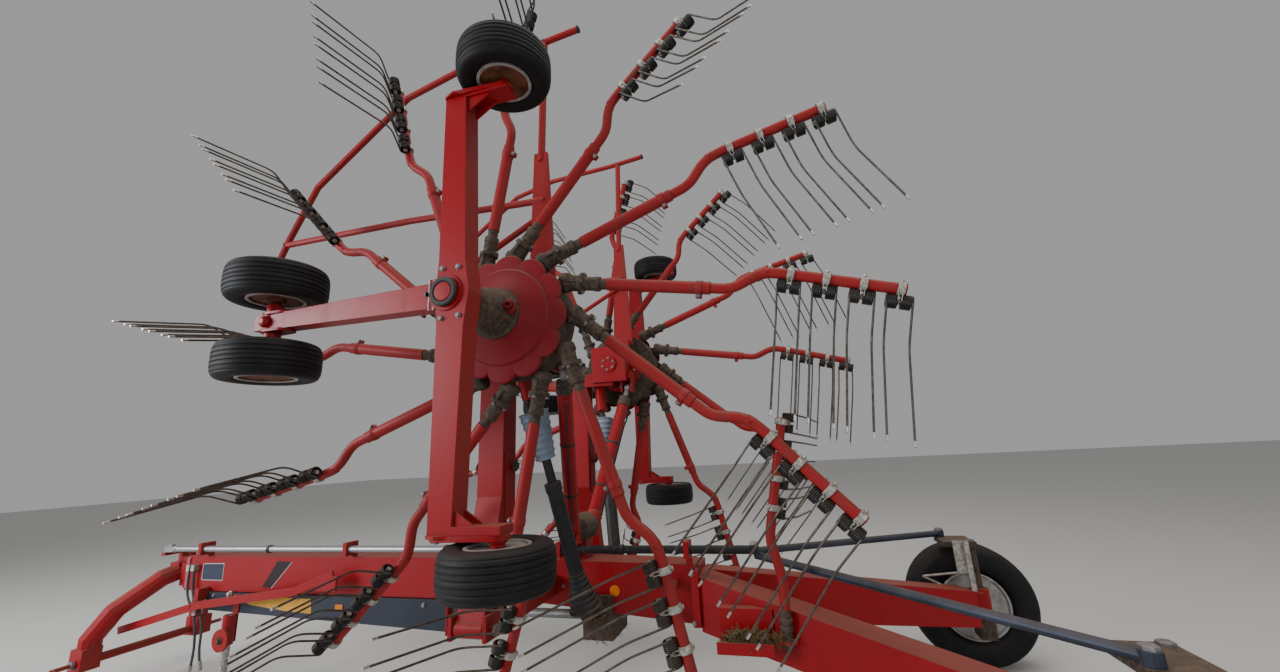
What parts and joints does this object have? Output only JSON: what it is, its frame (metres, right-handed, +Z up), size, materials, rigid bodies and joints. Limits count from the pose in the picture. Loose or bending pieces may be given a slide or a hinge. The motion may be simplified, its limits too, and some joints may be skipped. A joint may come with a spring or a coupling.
{
  "type": "twin rotor hay rake",
  "caption": "Trailed hay rake folded for transport: a steered chassis carries two upright tined rotors on folding arms, each with its own gauge wheels and guards.",
  "frame": {"origin": "middle of the bounding box at ground level", "axes": "+X forward to the tractor, +Y to the machine's left, +Z up"},
  "size_m": [6.474, 3.11, 4.0149],
  "materials": {
    "black_guard": "matte",
    "bright_rod": "polished",
    "dark_casting": "greasy cast surface",
    "dark_panel": "satin",
    "galvanised": "dull zinc",
    "hose": "matte",
    "red_paint": "semi-gloss, dusty",
    "rubber": "matte"
  },
  "bodies": {
    "frame": {"main_beam": "red_paint", "beam_end_pivot": "red_paint", "underslung_panel": "dark_panel", "input_drive": "galvanised", "centre_gearbox": "dark_casting", "outrigger_left": "red_paint", "outrigger_right": "red_paint", "centre_tower": "red_paint", "fork_arm_left": "red_paint", "fork_arm_right": "red_paint", "rear_bracket": "red_paint", "side_tray": "red_paint", "rod_supports": "red_paint", "side_bar": "red_paint", "lamp_bracket": "galvanised", "stand_sleeve": "red_paint", "front_hose": "hose", "front_hose_coupling": "galvanised", "hanging_hose": "hose", "hanging_hose_coupling": "galvanised", "hose_glands": "galvanised"},
    "headstock": {"headstock_arch": "red_paint"},
    "steering_rod": {"steering_rod": "galvanised"},
    "stand": {"stand_leg": "red_paint"},
    "fold_arm_left": {"fold_arm_left": "red_paint", "rotor_gearbox_left": "dark_casting", "rotor_guard_left": "red_paint", "rotor_chassis_left": "red_paint"},
    "rotor_left": {"rotor_hub_left": "red_paint", "tine_arm_bearings_left": "dark_casting", "tine_arms_left": "red_paint"},
    "upper_wheel_left": {"upper_rotor_wheel_left": "rubber"},
    "lower_wheel_left": {"lower_rotor_wheel_left": "rubber"},
    "front_wheels_left": {"front_rotor_wheels_left": "rubber"},
    "shaft_outer_left": {"drive_shaft_outer_left": "black_guard"},
    "shaft_inner_left": {"drive_shaft_inner_left": "black_guard"},
    "ram_barrel_left": {"fold_cylinder_barrel_left": "red_paint"},
    "ram_rod_left": {"fold_cylinder_rod_left": "bright_rod"},
    "tie_rod_left": {"tie_rod_left": "galvanised"},
    "knuckle_left": {"steering_knuckle_left": "dark_casting"},
    "road_wheel_left": {"road_wheel_left": "rubber"},
    "fold_arm_right": {"fold_arm_right": "red_paint", "rotor_gearbox_right": "dark_casting", "rotor_guard_right": "red_paint", "rotor_chassis_right": "red_paint"},
    "rotor_right": {"rotor_hub_right": "red_paint", "tine_arm_bearings_right": "dark_casting", "tine_arms_right": "red_paint"},
    "upper_wheel_right": {"upper_rotor_wheel_right": "rubber"},
    "lower_wheel_right": {"lower_rotor_wheel_right": "rubber"},
    "front_wheels_right": {"front_rotor_wheels_right": "rubber"},
    "shaft_outer_right": {"drive_shaft_outer_right": "black_guard"},
    "shaft_inner_right": {"drive_shaft_inner_right": "black_guard"},
    "ram_barrel_right": {"fold_cylinder_barrel_right": "red_paint"},
    "ram_rod_right": {"fold_cylinder_rod_right": "bright_rod"},
    "tie_rod_right": {"tie_rod_right": "galvanised"},
    "knuckle_right": {"steering_knuckle_right": "dark_casting"},
    "road_wheel_right": {"road_wheel_right": "rubber"}
  },
  "joints": [
    {"name": "headstock_turn", "type": "hinge", "parent": "frame", "child": "headstock", "pos_m": [2.813, 0, 0.7], "axis": [0, 0, 1], "range_deg": [-35, 35]},
    {"name": "steering_rod_slide", "type": "slide", "parent": "frame", "child": "steering_rod", "axis": [1, 0, 0], "range_m": [-0.085, 0.085]},
    {"name": "fold_left", "type": "hinge", "parent": "frame", "child": "fold_arm_left", "pos_m": [-0.277, 0.78, 0.725], "axis": [-1, 0, 0], "range_deg": [0, 90]},
    {"name": "rotor_spin_left", "type": "hinge", "parent": "fold_arm_left", "child": "rotor_left", "pos_m": [-0.547, 0.9, 2.15], "axis": [0, 1, 0], "continuous": true},
    {"name": "upper_wheel_spin_left", "type": "hinge", "parent": "fold_arm_left", "child": "upper_wheel_left", "pos_m": [-0.762, 1.35, 3.18], "axis": [0, 0, 1], "continuous": true},
    {"name": "lower_wheel_spin_left", "type": "hinge", "parent": "fold_arm_left", "child": "lower_wheel_left", "pos_m": [-0.762, 1.35, 1.12], "axis": [0, 0, 1], "continuous": true},
    {"name": "front_wheels_spin_left", "type": "hinge", "parent": "fold_arm_left", "child": "front_wheels_left", "pos_m": [0.428, 1.35, 2.15], "axis": [0, 0, 1], "continuous": true},
    {"name": "shaft_swing_left", "type": "hinge", "parent": "frame", "child": "shaft_outer_left", "pos_m": [-0.642, 0.262, 0.64], "axis": [-0.9993, -0.026, 0.0273], "range_deg": [0, 64.98]},
    {"name": "shaft_length_left", "type": "slide", "parent": "shaft_outer_left", "child": "shaft_inner_left", "axis": [0.1518, 0.2471, 0.957], "range_m": [0, 0.4255]},
    {"name": "ram_swing_left", "type": "hinge", "parent": "frame", "child": "ram_barrel_left", "pos_m": [-0.507, 0.13, 1.01], "axis": [-0.9982, 0.031, -0.0507], "range_deg": [0, 68.04]},
    {"name": "ram_stroke_left", "type": "slide", "parent": "ram_barrel_left", "child": "ram_rod_left", "axis": [-0.1498, 0.4214, 0.8944], "range_m": [0, 0.8339]},
    {"name": "knuckle_turn_left", "type": "hinge", "parent": "frame", "child": "knuckle_left", "pos_m": [-2.857, 0.87, 0.6], "axis": [0, 0, 1], "range_deg": [-17.8, 17.8]},
    {"name": "road_wheel_spin_left", "type": "hinge", "parent": "knuckle_left", "child": "road_wheel_left", "pos_m": [-2.857, 1.13, 0.38], "axis": [0, 1, 0], "continuous": true},
    {"name": "tie_rod_slide_left", "type": "slide", "parent": "frame", "child": "tie_rod_left", "axis": [-0.7666, 0.6421, 0], "range_m": [-0.0673, 0.0673]},
    {"name": "fold_right", "type": "hinge", "parent": "frame", "child": "fold_arm_right", "pos_m": [-0.277, -0.78, 0.725], "axis": [1, 0, 0], "range_deg": [0, 90]},
    {"name": "rotor_spin_right", "type": "hinge", "parent": "fold_arm_right", "child": "rotor_right", "pos_m": [-0.547, -0.9, 2.15], "axis": [0, -1, 0], "continuous": true},
    {"name": "upper_wheel_spin_right", "type": "hinge", "parent": "fold_arm_right", "child": "upper_wheel_right", "pos_m": [-0.762, -1.35, 3.18], "axis": [0, 0, 1], "continuous": true},
    {"name": "lower_wheel_spin_right", "type": "hinge", "parent": "fold_arm_right", "child": "lower_wheel_right", "pos_m": [-0.762, -1.35, 1.12], "axis": [0, 0, 1], "continuous": true},
    {"name": "front_wheels_spin_right", "type": "hinge", "parent": "fold_arm_right", "child": "front_wheels_right", "pos_m": [0.428, -1.35, 2.15], "axis": [0, 0, 1], "continuous": true},
    {"name": "shaft_swing_right", "type": "hinge", "parent": "frame", "child": "shaft_outer_right", "pos_m": [-0.642, -0.262, 0.64], "axis": [0.9993, -0.026, -0.0273], "range_deg": [0, 64.98]},
    {"name": "shaft_length_right", "type": "slide", "parent": "shaft_outer_right", "child": "shaft_inner_right", "axis": [0.1518, -0.2471, 0.957], "range_m": [0, 0.4255]},
    {"name": "ram_swing_right", "type": "hinge", "parent": "frame", "child": "ram_barrel_right", "pos_m": [-0.507, -0.13, 1.01], "axis": [0.9982, 0.031, 0.0507], "range_deg": [0, 68.04]},
    {"name": "ram_stroke_right", "type": "slide", "parent": "ram_barrel_right", "child": "ram_rod_right", "axis": [-0.1498, -0.4214, 0.8944], "range_m": [0, 0.8339]},
    {"name": "knuckle_turn_right", "type": "hinge", "parent": "frame", "child": "knuckle_right", "pos_m": [-2.857, -0.87, 0.6], "axis": [0, 0, 1], "range_deg": [-17.8, 17.8]},
    {"name": "road_wheel_spin_right", "type": "hinge", "parent": "knuckle_right", "child": "road_wheel_right", "pos_m": [-2.857, -1.13, 0.38], "axis": [0, 1, 0], "continuous": true},
    {"name": "tie_rod_slide_right", "type": "slide", "parent": "frame", "child": "tie_rod_right", "axis": [-0.7666, -0.6421, 0], "range_m": [-0.0673, 0.0673]},
    {"name": "stand_slide", "type": "slide", "parent": "frame", "child": "stand", "axis": [0, 0, 1], "range_m": [0, 0.28]}
  ],
  "couplings": [
    {"joint": "steering_rod_slide", "follows": "headstock_turn", "m_per_rad": -0.125},
    {"joint": "shaft_swing_left", "follows": "fold_left", "ratio": 0.7153},
    {"joint": "shaft_length_left", "follows": "fold_left", "m_per_rad": 0.26898},
    {"joint": "ram_swing_left", "follows": "fold_left", "ratio": 0.7493},
    {"joint": "ram_stroke_left", "follows": "fold_left", "m_per_rad": 0.52897},
    {"joint": "knuckle_turn_left", "follows": "headstock_turn", "ratio": -0.5},
    {"joint": "tie_rod_slide_left", "follows": "headstock_turn", "m_per_rad": -0.1069},
    {"joint": "shaft_swing_right", "follows": "fold_right", "ratio": 0.7153},
    {"joint": "shaft_length_right", "follows": "fold_right", "m_per_rad": 0.26898},
    {"joint": "ram_swing_right", "follows": "fold_right", "ratio": 0.7493},
    {"joint": "ram_stroke_right", "follows": "fold_right", "m_per_rad": 0.52897},
    {"joint": "knuckle_turn_right", "follows": "headstock_turn", "ratio": -0.5},
    {"joint": "tie_rod_slide_right", "follows": "headstock_turn", "m_per_rad": 0.1069}
  ]
}
